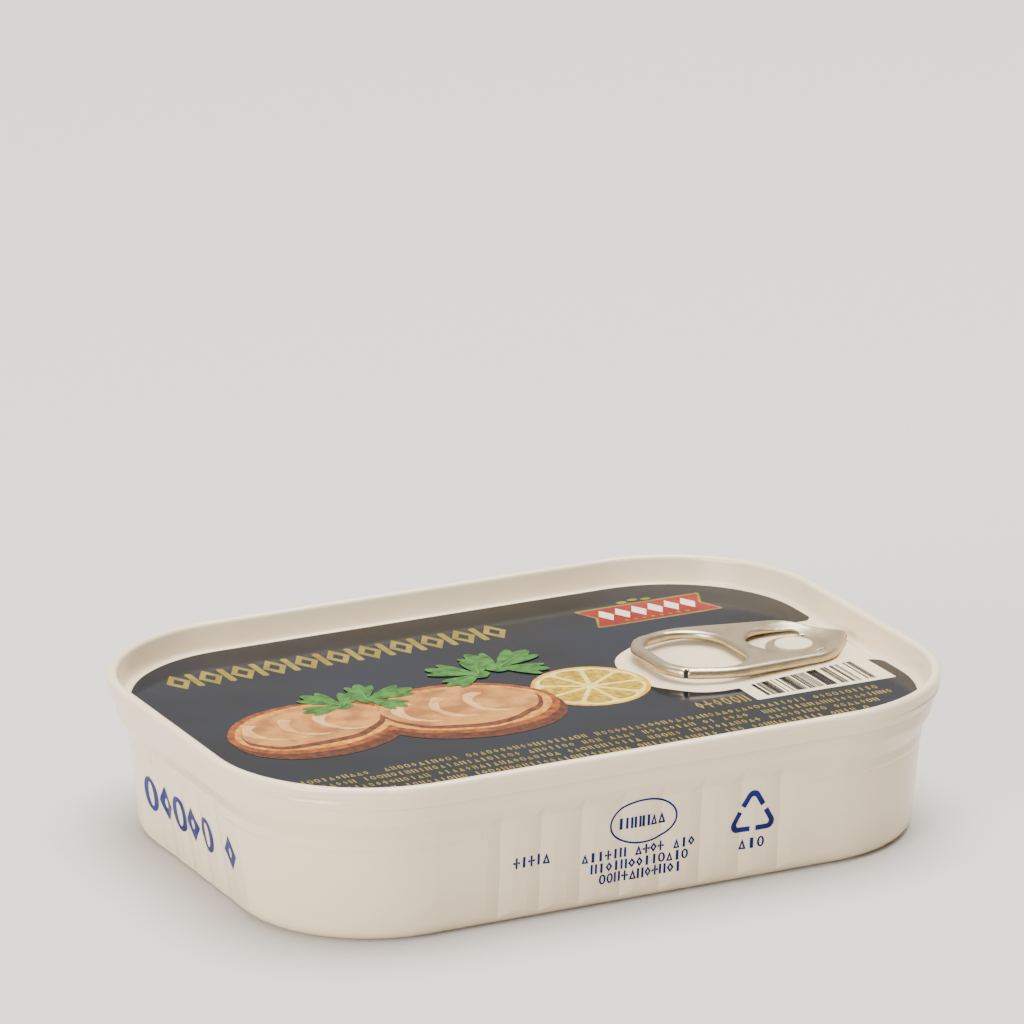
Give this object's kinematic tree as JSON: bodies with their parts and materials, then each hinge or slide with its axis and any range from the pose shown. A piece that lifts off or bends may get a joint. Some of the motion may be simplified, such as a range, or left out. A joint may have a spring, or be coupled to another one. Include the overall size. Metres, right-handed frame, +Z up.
{
  "type": "easy-open fish tin",
  "caption": "Closed shallow rectangular tin with rounded corners, a seamed easy-open lid and a ring-pull tab.",
  "frame": {"origin": "middle of the footprint on the underside", "axes": "+X along the length towards the nose of the tab, +Y across towards the far long side, +Z up through the lid"},
  "size_m": [0.1056, 0.0764, 0.0226],
  "materials": {
    "body_lacquer": "gloss lacquer on aluminium",
    "lid_lacquer": "gloss lacquer on aluminium",
    "tab_aluminium": "satin"
  },
  "bodies": {
    "root": {"can_body": "body_lacquer", "lid": "lid_lacquer", "pull_tab": "tab_aluminium"}
  },
  "joints": []
}
